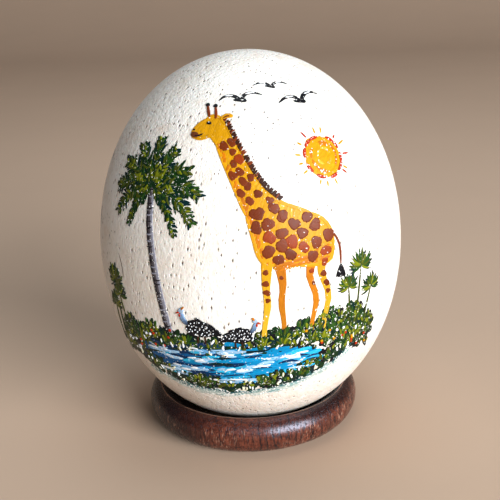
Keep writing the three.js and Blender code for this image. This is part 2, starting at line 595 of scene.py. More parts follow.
class Motif:
    """One thing in the painting. Its strokes are given in millimetres from its own origin,
    which lies so far round the shell from the front, at the widest line, and so far up it."""

    def __init__(self, name, around, climb, base=0):
        self.name = name
        self.turn = around * MM / EGG_RADIUS
        self.climb = climb
        self.base = base                 # layers of paint that already lie below this motif
        self.points, self.faces, self.colours, self.dryness = [], [], [], []
        self.bristles, self.sheet, self.count = [], [], 0

    def paint(self, knots, width, colour, to=None, layer=0, thick=0.10, ends=4, taper=0.0,
              swell=(1, 1), dry=0.2, stations=9, shade=0.08):
        """Adds strokes through knots (stroke, knot, 2). Half the width follows the root of 1
        minus |2u - 1| to the power ends, times 1 minus taper times u, for u along the stroke:
        2 gives an oval dab, more a blunt bar. Swell lists further widths from start to end.
        The pigment runs from one colour to another."""
        knots = np.array(knots, float)
        knots = knots[None] if knots.ndim == 2 else knots
        amount = len(knots)
        u = (1 - np.cos(np.pi * np.arange(stations) / (stations - 1))) / 2
        flat = along(knots, u)
        climb = (self.climb + flat[..., 1]) * MM
        radius = egg_radius(np.interp(climb, tape, tape_rise))
        place, normal = on_shell(self.turn + flat[..., 0] * MM / radius, climb)
        ahead = np.gradient(place, axis=1)
        right = np.cross(ahead, normal)
        right /= np.linalg.norm(right, axis=-1, keepdims=True)

        profile = np.sqrt(np.clip(1 - np.abs(2 * u - 1) ** ends, 0, 1)) * (1 - taper * u)
        profile = profile * np.interp(u, np.linspace(0, 1, len(swell)), swell)
        half = np.outer(np.broadcast_to(width, amount) / 2, profile) * MM + TIP_WIDTH
        lift = (self.base + layer + LIFT_SPREAD * random.random(amount)) * LAYER_LIFT
        dome = TIP_THICKNESS + (1 - TIP_THICKNESS) * profile ** 0.6
        dome = np.outer(np.broadcast_to(thick, amount) * MM, dome)
        sideways = half[..., None] * ACROSS
        height = lift[:, None, None] + dome[..., None] * DOME - sideways ** 2 / (2 * CURVE)
        height = np.where(BELOW > 0, -SINK, height)
        points = (place[:, :, None] + right[:, :, None] * sideways[..., None]
                  + normal[:, :, None] * height[..., None])

        start = np.broadcast_to(colour, (amount, 3))
        stop = start if to is None else np.broadcast_to(to, (amount, 3))
        tone = 1 + jitter(shade, (amount, 1, 1))
        pigment = (start[:, None] + (stop - start)[:, None] * u[:, None]) * tone
        pigment = np.repeat(np.clip(pigment, 0.001, 0.95)[:, :, None], CORNERS, 2)
        length = np.linalg.norm(np.diff(place, axis=1), axis=-1).cumsum(1)
        length = np.concatenate([np.zeros((amount, 1)), length], 1)
        self.store(points, pigment, np.broadcast_to(dry, amount), length, sideways, u)

    def store(self, points, pigment, dry, length, sideways, u):
        """Keeps a batch: its points and faces, and for each corner of each face its two maps.
        A face lies between two stations and two corners of the section. The ends are caps."""
        amount, stations = points.shape[:2]
        per_stroke = stations * CORNERS
        first = self.count + per_stroke * np.arange(amount)[:, None, None]
        quads = grid_faces(stations, CORNERS)[None] + first
        cap = np.arange(CORNERS)
        tail, head = first[:, 0] + cap[::-1], first[:, 0] + per_stroke - CORNERS + cap
        self.faces += quads.reshape(-1, 4).tolist() + tail.tolist() + head.tolist()
        self.count += amount * per_stroke
        self.points.append(points.reshape(-1, 3))
        self.colours.append(pigment.reshape(-1, 3))
        self.dryness.append(np.repeat(dry, per_stroke))

        row, column = np.meshgrid(np.arange(stations - 1), cap, indexing="ij")
        rows = np.stack([row, row, row + 1, row + 1], -1)
        columns = np.stack([column, column + 1, column + 1, column], -1)
        where = random.random((amount, 1, 1, 1, 2)) * BRUSH_FIELD
        bristle = np.stack([length[:, rows], sideways[:, rows, columns % CORNERS]], -1) + where
        flat_quads = np.stack([u[rows], SHEET[columns]], -1)
        flat_quads = np.broadcast_to(flat_quads, (amount, *flat_quads.shape))
        ends = np.stack([np.repeat([0.0, 1.0], CORNERS), np.tile(SHEET[:-1], 2)], -1)
        ends = np.broadcast_to(ends.reshape(2, 1, CORNERS, 2), (2, amount, CORNERS, 2))
        cap_bristle = np.broadcast_to(where[:, 0, 0], (amount, CORNERS, 2))
        self.bristles += [bristle.reshape(-1, 2), np.tile(cap_bristle.reshape(-1, 2), (2, 1))]
        self.sheet.append((flat_quads, ends))

    def piece(self, material):
        """Makes the mesh object of all strokes, with its colours and maps."""
        made = new_piece("paint_" + self.name, np.concatenate(self.points), self.faces)
        mesh = made.data
        colours = np.concatenate(self.colours)
        colours = np.hstack([colours, np.ones((len(colours), 1))])
        mesh.attributes.new("pigment", "FLOAT_COLOR", "POINT").data.foreach_set(
            "color", colours.ravel())
        mesh.attributes.new("dryness", "FLOAT", "POINT").data.foreach_set(
            "value", np.concatenate(self.dryness))
        mesh.uv_layers.new(name="bristles").uv.foreach_set(
            "vector", np.concatenate(self.bristles).ravel())
        mesh.uv_layers.new(name="OFBake").uv.foreach_set("vector", self.laid_out().ravel())
        mesh.materials.append(material)
        pieces.append(made)
        print(made.name, sum(len(q) for q, _ in self.sheet), "strokes,", len(mesh.polygons), "faces")

    def laid_out(self):
        """Baking map: every stroke gets one rectangle of a square sheet of rows and columns."""
        total = sum(len(quads) for quads, _ in self.sheet)
        side = math.ceil(math.sqrt(total))
        inner = 1 - 2 * BAKE_MARGIN
        maps, done = [], 0
        for quads, ends in self.sheet:
            number = done + np.arange(len(quads))
            cell = np.stack([number % side, number // side], -1)
            maps.append((cell[:, None, None, None] + BAKE_MARGIN + inner * quads).reshape(-1, 2))
            maps.append((cell[None, :, None] + BAKE_MARGIN + inner * ends).reshape(-1, 2))
            done += len(quads)
        return np.concatenate(maps) / side


pieces = []

# %% [markdown]
# ## Filling a shape with strokes
#
# A painter fills a shape with parallel strokes and lets their ends stay a little ragged. The
# outline is turned so that the strokes lie level. Each level line is then cut where it crosses
# the outline's edges, and long spans are broken into strokes of natural length.

# %% Filling and scattering
def fill(outline, gap, slant=0.0, longest=12.0, ragged=0.4, wobble=0.25):
    """Knots of strokes that cover an outline with lines a gap apart. A line crosses an edge
    where its level lies between the edge's ends, at the share of the way that it has of the
    difference in height."""
    cos, sin = math.cos(slant), math.sin(slant)
    spin = np.array([[cos, -sin], [sin, cos]])
    here = np.array(outline, float) @ spin
    there = np.roll(here, -1, axis=0)
    spans = []
    for level in np.arange(here[:, 1].min() + gap / 2, here[:, 1].max(), gap):
        cut = (here[:, 1] > level) != (there[:, 1] > level)
        a, b = here[cut], there[cut]
        x = np.sort(a[:, 0] + (level - a[:, 1]) * (b - a)[:, 0] / (b - a)[:, 1])
        for low, high in zip(x[::2], x[1::2]):
            ends = np.linspace(low, high, math.ceil((high - low) / longest) + 1)
            spans += [(first, last, level) for first, last in zip(ends[:-1], ends[1:])]
    first, last, level = np.array(spans).T
    amount = len(first)
    first = first - ragged * random.random(amount)
    last = last + ragged * random.random(amount)
    x = np.stack([first, (first + last) / 2, last], -1)
    y = level[:, None] + jitter(wobble, (amount, 3))
    return np.stack([x, y], -1) @ spin.T


def inside(points, outline):
    """Which points lie in an outline: those with an odd number of edges to their right."""
    outline = np.array(outline, float)
    a, b = outline, np.roll(outline, -1, axis=0)
    x, y = points[:, :1], points[:, 1:]
    between = (a[:, 1] > y) != (b[:, 1] > y)
    slope = (b - a)[:, 0] / np.where(b[:, 1] == a[:, 1], 1e-9, (b - a)[:, 1])
    return (between & (x < a[:, 0] + (y - a[:, 1]) * slope)).sum(1) % 2 == 1


def pointing(angle):
    """Unit vectors at angles: their cosines and sines."""
    return np.stack([np.cos(angle), np.sin(angle)], -1)


def dabs(places, angle, length, bend=0.0):
    """Knots of short strokes from places, each so long at an angle, bowed to one side."""
    angle, length = np.broadcast_arrays(angle, length)
    ahead = pointing(angle) * length[..., None]
    aside = np.stack([-ahead[..., 1], ahead[..., 0]], -1) * np.asarray(bend)[..., None]
    return np.stack([places, places + ahead / 2 + aside, places + ahead], -2)


def pick(colours, amount):
    """One of several pigments for each stroke, at random."""
    return np.array(colours)[random.integers(0, len(colours), amount)]


# %% [markdown]
# ## Acrylic paint
#
# Dried acrylic is glossier than the shell. Bristles leave it streaked, thicker in some lines
# and thinner in others, and a half-dry brush skips the low places, so that white specks of
# shell show through. The streaks are noise drawn out along each stroke's own map. Where pits
# plus streaks plus dryness pass a limit, the pigment gives way to shell. The pores still show
# as small dents.

# %% Acrylic finish
def acrylic():
    """The stroke's own pigment times its streaks, with shell in the bare specks."""
    finish = Finish("acrylic", Roughness=0.34, IOR=1.48, Specular_IOR_Level=0.12)
    pigment = finish.node("ShaderNodeAttribute", {"attribute_name": "pigment"}, output="Color")
    dryness = finish.node("ShaderNodeAttribute", {"attribute_name": "dryness"}, output="Fac")
    brush = finish.node("ShaderNodeUVMap", {"uv_map": "bristles"})
    drawn = finish.node("ShaderNodeMapping", {"vector_type": "TEXTURE"}, {
        "Vector": brush, "Scale": (9, 1, 1)})
    streak = finish.noise(drawn, 0.30 * MM, 3.0, 0.6)
    pit = finish.noise(finish.place(), 0.85 * MM, 1.0)
    pore, dent = pores(finish, PORE_GRID, *PORE_SIZES)

    shade = finish.mix(finish.step(streak, 0.3, 0.7), (0.80, 0.80, 0.82), (1.14, 1.14, 1.12))
    streaked = finish.mix(1.0, pigment, shade, "MULTIPLY")
    bare = finish.step(pit * 0.75 + streak * 0.25 + dryness * 0.22, 0.70, 0.74)
    finish.surface(
        Base_Color=finish.layered(streaked, (bare, CHALK), (pore * 0.4, PORE)),
        Roughness=finish.step(streak, 0.3, 0.7, 0.30, 0.44) + bare * 0.08,
        Normal=finish.bump(streak * 0.45 + pit * 0.35 - dent * 0.6 - bare * 0.5, 0.05 * MM))
    return finish.material


acrylic_paint = acrylic()
print("acrylic nodes", len(acrylic_paint.node_tree.nodes))

# %% [markdown]
# ## The palette
#
# A market painter mixes few colours: a golden yellow, an orange red, a sienna, black, a dark
# and a light green, a deep and a bright blue, a grey for trunks, and white straight from the
# tube.

# %% Palette
GOLD, DEEP_GOLD, STRAW = (0.53, 0.245, 0.003), (0.46, 0.135, 0.003), (0.60, 0.36, 0.025)
ORANGE_RED, SIENNA, UMBER = (0.38, 0.026, 0.004), (0.15, 0.026, 0.005), (0.035, 0.011, 0.005)
BLACK, WHITE = (0.006, 0.006, 0.008), (0.80, 0.83, 0.86)
DARK_GREEN, TEAL, LEAF = (0.0055, 0.024, 0.007), (0.002, 0.017, 0.020), (0.020, 0.062, 0.008)
LIME, MOSS = (0.155, 0.175, 0.006), (0.055, 0.070, 0.005)
DEEP_BLUE, BLUE, CYAN = (0.0015, 0.024, 0.080), (0.002, 0.078, 0.225), (0.002, 0.21, 0.43)
AZURE, PALE_BLUE, CREAM_WHITE = (0.02, 0.37, 0.60), (0.30, 0.50, 0.70), (0.72, 0.70, 0.52)
TRUNK_DARK, TRUNK, TRUNK_PALE = (0.022, 0.019, 0.022), (0.075, 0.064, 0.072), (0.25, 0.25, 0.30)

# %% [markdown]
# ## Water
#
# The water hole is an oval patch of level strokes, deep blue at the left and brighter to the
# right, with white and pale blue ripples dragged over it by a half-dry brush.

# %% Water hole
GROUND = -22                            # foot of the bank, up the shell from its widest line
POND = [(-42, -1), (-37, 4), (-27, 7), (-14, 8.5), (2, 9), (18, 8), (30, 6), (38, 3), (41, -1),
        (36, -5.5), (26, -9), (13, -11), (-2, -12), (-17, -11), (-30, -8.5), (-39, -5)]
water = Motif("water", -13, GROUND - 10.5)


def ripples(motif, outline, gap, width, longest, chosen, drift=7.0, **how):
    """Level strokes over an outline, each in one of the chosen pigments by how far right it
    lies: the further right, the later in the list, give or take a drift."""
    knots = fill(outline, gap, slant=0.02, longest=longest, ragged=1.8, wobble=0.35)
    middle = knots[:, 1, 0] + jitter(drift, len(knots))
    low, high = np.array(outline)[:, 0].min(), np.array(outline)[:, 0].max()
    number = np.clip((middle - low) / (high - low) * len(chosen), 0, len(chosen) - 1).astype(int)
    motif.paint(knots, width, np.array(chosen)[number], **how)


ripples(water, POND, 1.2, 2.2, 16, [DEEP_BLUE, BLUE, BLUE, CYAN, CYAN], thick=0.05, dry=0.1)
ripples(water, POND, 2.4, 1.9, 9, [BLUE, DEEP_BLUE, CYAN, CYAN, AZURE], layer=1, dry=0.3, ends=2.4,
        thick=0.05)


def dragged(motif, outline, amount, chosen, width, length, **how):
    """Loose level strokes at random places of an outline, a little askew."""
    outline = np.array(outline, float)
    spots = random.uniform(outline.min(0), outline.max(0), (6 * amount, 2))
    spots = spots[inside(spots, outline * (0.94, 0.86))][:amount]
    count = len(spots)
    length = length * random.uniform(0.5, 1.3, count)
    start = spots - np.stack([length / 2, np.zeros(count)], -1)
    motif.paint(dabs(start, 0.02 + jitter(0.10, count), length, jitter(0.05, count)),
                width * random.uniform(0.5, 1.3, count), pick(chosen, count), **how)


def foam(motif, bands, each, chosen, width, length, **how):
    """Broken foam: strokes strewn along bands, each band given by its middle, length and
    slope. A stroke starts at a random share of its band, a little above or below it."""
    x, y, long, slope = np.repeat(np.array(bands, float), each, axis=0).T
    amount = len(x)
    share = random.uniform(-0.5, 0.5, amount) * long
    spots = np.stack([x + share, y + slope * share + jitter(0.55, amount)], -1)
    motif.paint(dabs(spots, slope + jitter(0.07, amount), length * random.uniform(0.5, 1.4, amount),
                     jitter(0.05, amount)),
                width * random.uniform(0.6, 1.3, amount), pick(chosen, amount), stations=7, **how)


BANDS = [(-31, 2.0, 12, 0.04), (-18, -5.0, 14, 0.12), (-6, 4.8, 18, 0.03), (6, -3.0, 20, 0.15),
         (-25, -7.8, 9, 0.0), (22, 1.8, 12, 0.08), (1, -9.2, 13, 0.08), (-13, 0.5, 9, 0.1)]
dragged(water, POND, 34, [DEEP_BLUE, DEEP_BLUE, TEAL], 1.1, 9.0, layer=2, ends=2.0, dry=0.3,
        stations=8, thick=0.05)
dragged(water, POND, 14, [AZURE, PALE_BLUE], 1.2, 8.0, layer=2, ends=2.0, dry=0.7, stations=8,
        thick=0.05)
foam(water, BANDS, 9, [PALE_BLUE, AZURE, (0.12, 0.33, 0.58)], 1.35, 6.5, layer=2, dry=0.45, ends=2.4,
     thick=0.06)
foam(water, BANDS, 6, [WHITE, WHITE, PALE_BLUE], 0.9, 4.0, layer=3, dry=0.4, ends=2.4, shade=0.02)
water.piece(acrylic_paint)

# %% [markdown]
# ## Grass
#
# Grass is quick upward dabs: dark ones first, close together, then leaf green, then thin lime
# tips on top. The bank runs behind the water, swells into bushes and tussocks, and closes the
# scene below the water too. The brush is half dry, so shell glints between the dabs.

# %% Grass bank
bank = Motif("bank", 0, GROUND)
BANK_ENDS = (-66, 52)
NEAR_ENDS = (-62, 44)
NEAR_DEPTH, NEAR_MIDDLE = -20.5, -13
NEAR_BOWL = 0.0060                      # rise per square millimetre from the middle


def shore(x):
    """Height of the bank's foot at x: a slow wave that sinks towards both ends."""
    return 1.4 * np.sin(x / 9) - 0.0030 * x ** 2 + 1.5


def near_edge(x):
    """Height of the near shore below the water at x: a shallow bowl, deepest at its middle,
    that rises with the square of the distance from there."""
    return NEAR_DEPTH + NEAR_BOWL * (x - NEAR_MIDDLE) ** 2


def blades(motif, places, length, width, chosen, **how):
    """Upright dabs from their places, about so long and wide, a little to either side."""
    amount = len(places)
    angle = np.pi / 2 + jitter(0.32, amount)
    knots = dabs(places, angle, length * random.uniform(0.6, 1.25, amount),
                 jitter(0.12, amount))
    motif.paint(knots, width * random.uniform(0.7, 1.25, amount), pick(chosen, amount),
                stations=5, ends=2.2, **how)


def strewn(amount, low, high, line, depth):
    """Places along a line from low to high, at random depths below it."""
    x = random.uniform(low, high, amount)
    return np.stack([x, line(x) - depth * random.random(amount)], -1)


def bush(amount, x, y, width, height):
    """Places in a low dome: a half ellipse, evenly filled."""
    angle = np.pi * random.random(amount)
    reach = np.sqrt(random.random(amount))
    return np.stack([x + width / 2 * reach * np.cos(angle), y + height * reach * np.sin(angle)], -1)


def tussock(motif, x, y, spread, height, amount, chosen, **how):
    """Blades that fan out from a root and bow outwards."""
    lean = np.linspace(-1, 1, amount) + jitter(0.15, amount)
    foot = np.stack([x + 0.25 * spread * lean, np.full(amount, y)], -1)
    size = height * (1 - 0.4 * lean ** 2) * random.uniform(0.7, 1.15, amount)
    angle = np.pi / 2 - 0.75 * lean * spread / height
    motif.paint(dabs(foot, angle, size, 0.16 * lean), 1.05, pick(chosen, amount),
                stations=6, ends=2.0, taper=0.45, **how)


DARK, FRESH = [DARK_GREEN, TEAL, BLACK, DARK_GREEN], [LEAF, DARK_GREEN, LEAF, MOSS]
BRIGHT = [MOSS, LIME, LEAF, LIME]
BUSHES = ((-56, 14, 11), (-44, 12, 7), (20, 10, 6), (30, 14, 12), (41, 15, 15), (49, 10, 10))
blades(bank, strewn(380, *BANK_ENDS, shore, 8.5), 4.2, 2.4, DARK, dry=0.2, thick=0.06)
for x, width, height in BUSHES:
    blades(bank, bush(int(0.46 * width * height), x, shore(x) - 2, width, height), 3.8, 2.2, DARK,
           dry=0.25, thick=0.06)
blades(bank, strewn(150, *BANK_ENDS, shore, 7.5), 3.0, 1.5, FRESH, layer=1, dry=0.5, thick=0.07)
for x, width, height in BUSHES:
    blades(bank, bush(int(0.26 * width * height), x, shore(x) - 1, width, height), 2.8, 1.4, FRESH,
           layer=1, dry=0.45, thick=0.07)
    blades(bank, bush(int(0.13 * width * height), x, shore(x), 0.95 * width, height), 2.2, 1.1,
           BRIGHT, layer=2, dry=0.4, thick=0.09)
blades(bank, strewn(66, *BANK_ENDS, shore, 6.0), 2.4, 1.1, BRIGHT, layer=2, dry=0.35, thick=0.09)
blades(bank, strewn(30, -60, 52, shore, 7.0), 2.3, 0.75, [CREAM_WHITE, WHITE], layer=3, dry=0.3)
for x, height in zip((-62, -50, -36, -27, 11, 25, 36), (9, 9, 6, 5, 6, 8, 9)):
    tussock(bank, x, shore(x) - 2, 6, height, 13, [DARK_GREEN, TEAL, LEAF], layer=2, dry=0.25)
    tussock(bank, x, shore(x) - 2, 5, height * 0.8, 5, BRIGHT, layer=3, dry=0.3)
bank.piece(acrylic_paint)

# %% Near shore
near = Motif("near_shore", 0, GROUND, base=1)
WASH = ((8.3, 50, [(0.46, 0.52, 0.47), (0.54, 0.56, 0.50)]),     # drop below the edge, strokes
        (7.2, 60, [(0.20, 0.33, 0.32), (0.30, 0.40, 0.37)]),
        (5.9, 60, [(0.02, 0.08, 0.09), (0.05, 0.14, 0.14)]))
for drop, amount, chosen in WASH:
    loose = strewn(amount, -50, 38, near_edge, 2.2) - (0, drop)
    near.paint(dabs(loose, 2 * NEAR_BOWL * (loose[:, 0] - NEAR_MIDDLE), 5.5), 1.6, pick(chosen, amount),
               dry=0.75, ends=2.2, stations=6, thick=0.035)
blades(near, strewn(400, *NEAR_ENDS, near_edge, 7.5), 3.6, 2.3, DARK, dry=0.2, thick=0.06)
blades(near, strewn(140, *NEAR_ENDS, near_edge, 6.0), 2.8, 1.5, FRESH, layer=1, dry=0.45, thick=0.07)
blades(near, strewn(66, *NEAR_ENDS, near_edge, 5.0), 2.4, 1.15, BRIGHT, layer=2, dry=0.4, thick=0.09)
blades(near, strewn(34, *NEAR_ENDS, near_edge, 6.5), 2.4, 0.8, [CREAM_WHITE, WHITE], layer=3,
       dry=0.3)
near.piece(acrylic_paint)

# %% [markdown]
# ## Palm
#
# The trunk is three long grey strokes side by side, dark at the left and pale at the right,
# crossed by short scars. Every frond is a bowed rib with leaflets on both sides, which are
# dabs that get shorter towards the tip. Dark dabs lie below and lime ones on top.

# %% Palm
palm = Motif("palm", -39, GROUND + 1, base=1)
TRUNK_KNOTS = np.array([(4, -1), (2.2, 13), (-0.5, 28), (-3.0, 43), (-3.8, 57)], float)
for shift, width, colour in ((-0.9, 1.8, TRUNK_DARK), (0.9, 1.7, TRUNK_PALE), (0.0, 1.9, TRUNK)):
    palm.paint(TRUNK_KNOTS + (shift, 0), width, colour, stations=16, ends=8, taper=0.35, dry=0.42)
scars = along(TRUNK_KNOTS[None], np.linspace(0.03, 0.97, 24))[0]
scars += jitter(0.3, scars.shape) + (-1.5, 0)
palm.paint(dabs(scars, 0.15, 2.8, -0.12), 0.55, pick([TRUNK_DARK, BLACK, TRUNK_PALE], 24),
           layer=1, stations=5, ends=2.2, dry=0.3)


def frond(motif, crown, angle, reach, droop, leaflets=15):
    """A rib that leaves the crown at an angle and droops, with leaflets from both its sides."""
    way = np.array([math.cos(angle), math.sin(angle)])
    rib = crown + np.array([way * 0, way * 0.35, way * 0.7, way * 0.95]) * reach
    rib[:, 1] -= droop * np.array([0, 0.10, 0.42, 1.0])
    motif.paint(rib, 0.8, DARK_GREEN, to=LEAF, stations=10, taper=0.5, layer=1)
    share = np.linspace(0.10, 1.0, leaflets)
    here = along(rib[None], share)[0]
    heading = np.gradient(here, axis=0)
    heading = np.arctan2(heading[:, 1], heading[:, 0])
    size = reach * (0.34 - 0.20 * share)
    for side in (-1, 1):
        for layer, chosen, keep in ((0, [DARK_GREEN, TEAL, DARK_GREEN], 1.0),
                                    (1, [LEAF, MOSS, DARK_GREEN], 0.55), (2, [LIME, MOSS], 0.32)):
            kept = random.random(leaflets) < keep
            lean = heading + side * (0.75 + jitter(0.18, leaflets))
            length = size * random.uniform(0.75, 1.2, leaflets) * (1 - 0.2 * layer)
            motif.paint(dabs(here, lean, length, 0.1 * side)[kept], 1.55 - 0.2 * layer,
                        pick(chosen, leaflets)[kept], layer=layer, stations=5, ends=2.0,
                        taper=0.5, dry=0.35, thick=0.07)


CROWN = TRUNK_KNOTS[-1]
for angle, reach, droop in ((2.95, 22, 7), (2.55, 22, 5), (2.1, 20, 2), (1.62, 19, 0), (1.15, 19, 2),
                            (0.68, 20, 5), (0.28, 22, 8), (-0.10, 20, 10), (3.3, 20, 9),
                            (-0.55, 15, 9), (3.75, 14, 8)):
    frond(palm, CROWN, angle, reach, droop)
palm.piece(acrylic_paint)

# %% [markdown]
# ## Giraffe
#
# Body and neck are filled with golden strokes that follow one slant, and shaded with deeper
# gold on belly and throat and a paler gold along the back. Its coat is sienna blots on a
# jittered honeycomb, with the gold left between them. Each leg is one stroke that swells and
# narrows.

# %% Giraffe
giraffe = Motif("giraffe", 14.5, GROUND + 1, base=1)
BODY = [(-9.5, 29), (-12.2, 34), (-13.4, 40), (-15.2, 48), (-18, 57), (-20.6, 66), (-22.8, 74.5),
        (-24.4, 77.6), (-27.6, 76.6), (-30.6, 76.4), (-31.6, 78.2), (-29.2, 81.4), (-25, 84.6),
        (-22, 86), (-19.4, 85), (-18, 82), (-15.2, 74), (-11.8, 65), (-7.4, 57.4), (-2.5, 52.6),
        (3, 50), (9, 47.4), (14, 44), (16.8, 39.4), (17.4, 34), (15.8, 29), (10, 28), (3, 28.4),
        (-4, 27)]
LEG_SWELL = (1.0, 0.66, 0.44, 0.50, 0.36, 0.33, 0.42)
FAR_LEGS = [[(-4.6, 32), (-3.4, 22), (-4.0, 14.5), (-3.0, 6), (-3.3, 0)],
            [(9.2, 33), (7.0, 24), (9.6, 15.2), (8.2, 6), (7.8, 0)]]
NEAR_LEGS = [[(-8.6, 34), (-9.6, 22), (-9.2, 14.5), (-10.2, 6), (-10.6, 0)],
             [(13.2, 36), (11.8, 25), (14.8, 15.6), (13.2, 6), (12.8, 0)]]
giraffe.paint(FAR_LEGS, 5.2, DEEP_GOLD, to=(0.48, 0.17, 0.01), stations=16, ends=10,
              swell=LEG_SWELL, thick=0.07)
giraffe.paint(fill(BODY, 1.15, slant=1.15, longest=16, ragged=0.4), 2.1, GOLD, dry=0.1,
              shade=0.035, thick=0.045)
giraffe.paint(NEAR_LEGS, 5.6, GOLD, to=STRAW, stations=16, ends=10, swell=LEG_SWELL, layer=1,
              thick=0.07)
edge = np.array(BODY + BODY[:1], float)
giraffe.paint(np.stack([edge[k:k + 4] for k in range(0, 27, 3)]), 1.3, GOLD, stations=12, layer=1,
              ends=6, thick=0.05, shade=0.03)
BELLY = [(-9, 30), (-4, 32), (6, 32.5), (14, 35), (16.4, 34), (15, 29.4), (3, 28.8), (-4, 27.6)]
THROAT = [(-10, 32), (-13.4, 41), (-15, 48), (-17.8, 57), (-20.4, 66), (-22.4, 74), (-21.2, 74),
          (-18.6, 64), (-15.6, 55), (-12.8, 47), (-11, 40)]
BACK = [(-16, 74), (-12.4, 65), (-8, 57), (-3, 52), (9, 46.8), (14, 43), (12, 41.5), (-2, 48.6),
        (-9.4, 55), (-13.6, 65), (-17, 74)]
# Each row: outline, then gap, slant, longest and ragged ends of its strokes, width, colour, dryness.
SHADING = [
    (BELLY, (1.5, 0.2, 8, 0.9), 1.3, DEEP_GOLD, 0.35),
    (THROAT, (1.2, 1.25, 7, 0.8), 1.1, DEEP_GOLD, 0.35),
    (BACK, (1.6, 1.1, 6, 0.5), 1.0, (0.56, 0.29, 0.012), 0.4),
]
for outline, strokes, width, colour, dry in SHADING:
    giraffe.paint(fill(outline, *strokes), width, colour, layer=1, dry=dry, ends=2.4, thick=0.04)


def honeycomb(outline, apart, margin):
    """Centres of a slanted, jittered honeycomb that lie in an outline, also when they are
    moved by a margin to any of four sides."""
    x, y = np.meshgrid(np.arange(-90, 90, apart), np.arange(-60, 110, apart * 0.87))
    x = x + apart / 2 * (np.arange(len(x)) % 2)[:, None]
    spots = np.stack([x.ravel() - 0.35 * y.ravel(), y.ravel() + 0.35 * x.ravel()], -1)
    spots = spots + jitter(0.10 * apart, (x.size, 2))
    sides = margin * np.array([(1, 0), (-1, 0), (0, 1), (0, -1)])
    return spots[np.all([inside(spots + side, outline) for side in sides], axis=0)]


def blots(motif, spots, size):
    """Patches of the coat: on each place two blunt dabs that cross, in one pigment."""
    amount = len(spots)
    first = random.uniform(0, np.pi, amount)
    colour = pick([SIENNA, SIENNA, (0.125, 0.021, 0.004), (0.24, 0.034, 0.005)], amount)
    size = size * random.uniform(0.86, 1.12, amount)
    for angle, share in ((first, 1.0), (first + random.uniform(0.7, 2.0, amount), 0.86)):
        long = share * size * random.uniform(0.92, 1.08, amount)
        middle = spots + jitter(0.07 * size[:, None], (amount, 2))
        start = middle - pointing(angle) * long[:, None] / 2
        motif.paint(dabs(start, angle, long, jitter(0.05, amount)), 0.78 * long,
                    colour, layer=2, stations=6, ends=5, taper=0.25, dry=0.12, shade=0.03,
                    thick=0.035)


coat = honeycomb(BODY, 4.9, 1.9)
blots(giraffe, coat[(coat[:, 1] < 53)], 5.0)
neck = honeycomb(BODY, 3.8, 1.0)
blots(giraffe, neck[(neck[:, 1] >= 53) & (neck[:, 1] < 78) & (neck[:, 0] > -23)], 3.5)
blots(giraffe, np.array([(-9.4, 27.0), (-9.6, 23.0), (-9.4, 19.4), (12.9, 28.6), (12.6, 24.4),
                         (13.8, 20.6)]), 2.8)
blots(giraffe, np.array([(-9.3, 16.2), (14.5, 17.2), (-3.9, 24.5), (7.8, 26.0), (8.4, 21.0)]), 1.9)

MANE_HAIRS = 70
mane = along(np.array([[(-18.6, 84), (-15.8, 75), (-12.4, 66), (-8.0, 58), (-3, 53)]], float),
             np.linspace(0, 1, MANE_HAIRS))[0]
giraffe.paint(dabs(mane, 0.80 + jitter(0.22, MANE_HAIRS), 2.5), 0.95,
              pick([UMBER, SIENNA, UMBER], MANE_HAIRS), layer=2, stations=5, ends=2.0, taper=0.4,
              thick=0.07)
giraffe.paint([(16.8, 40), (20.0, 34), (20.4, 26)], 0.9, SIENNA, stations=9, layer=1)
giraffe.paint(dabs(np.tile([20.4, 26.4], (6, 1)), np.linspace(-2.0, -1.2, 6), 5.4), 0.95, BLACK,
              layer=2, stations=6, ends=2.2, dry=0.4)
hooves = np.array([(-11.6, 0.6), (-4.2, 0.6), (6.9, 0.6), (11.9, 0.6)])
giraffe.paint(dabs(hooves, -0.1, 2.1), 1.5, BLACK, layer=2, stations=5, ends=3.5)

HEAD_STROKES = [
    ([(-21.4, 84.6), (-20.8, 87), (-20.4, 90.0)], 1.1, SIENNA),           # horns
    ([(-23.6, 85.2), (-23.6, 87.6), (-23.4, 90.4)], 1.1, SIENNA),
    ([(-20.7, 89.6), (-20.4, 90.3), (-20.3, 91.1)], 1.6, BLACK),
    ([(-23.6, 90.0), (-23.4, 90.7), (-23.3, 91.5)], 1.6, BLACK),
    ([(-19.6, 84.4), (-17.0, 86.0), (-14.6, 85.8)], 1.9, GOLD),           # ear
    ([(-19.0, 84.5), (-17.0, 85.7), (-15.4, 85.6)], 0.8, SIENNA),
    ([(-31.8, 78.6), (-30.4, 77.8), (-29.0, 78.0)], 2.2, (0.10, 0.028, 0.010)),   # muzzle
    ([(-31.4, 77.4), (-29.0, 77.6), (-27.2, 78.4)], 0.5, BLACK),          # mouth
    ([(-25.0, 82.4), (-24.2, 82.9), (-23.4, 82.5)], 1.2, BLACK),          # eye
    ([(-30.9, 79.6), (-30.5, 79.9), (-30.1, 79.8)], 0.6, BLACK),          # nostril
    ([(-24.4, 83.0), (-24.2, 83.1), (-24.0, 83.0)], 0.4, WHITE),          # light in the eye
]
for layer, (knots, width, colour) in enumerate(HEAD_STROKES):
    giraffe.paint(knots, width, colour, layer=2 + layer * 0.15, stations=7, ends=2.6, dry=0.1)
giraffe.piece(acrylic_paint)

feet = Motif("grass_at_the_feet", 14.5, GROUND + 1, base=4)
for x in (-10.6, -3.3, 7.8, 12.8):
    tussock(feet, x, -3.0, 5, 5.5, 9, [DARK_GREEN, TEAL, LEAF], dry=0.3)
    tussock(feet, x, -3.0, 4.5, 4.6, 7, BRIGHT, layer=1, dry=0.3)
feet.piece(acrylic_paint)

# %% [markdown]
# ## Guineafowl
#
# Two hens with round backs are black outlines filled with short strokes, with rows of white
# dots, a neck that pales to blue, a red wattle, a gold comb and thin legs.

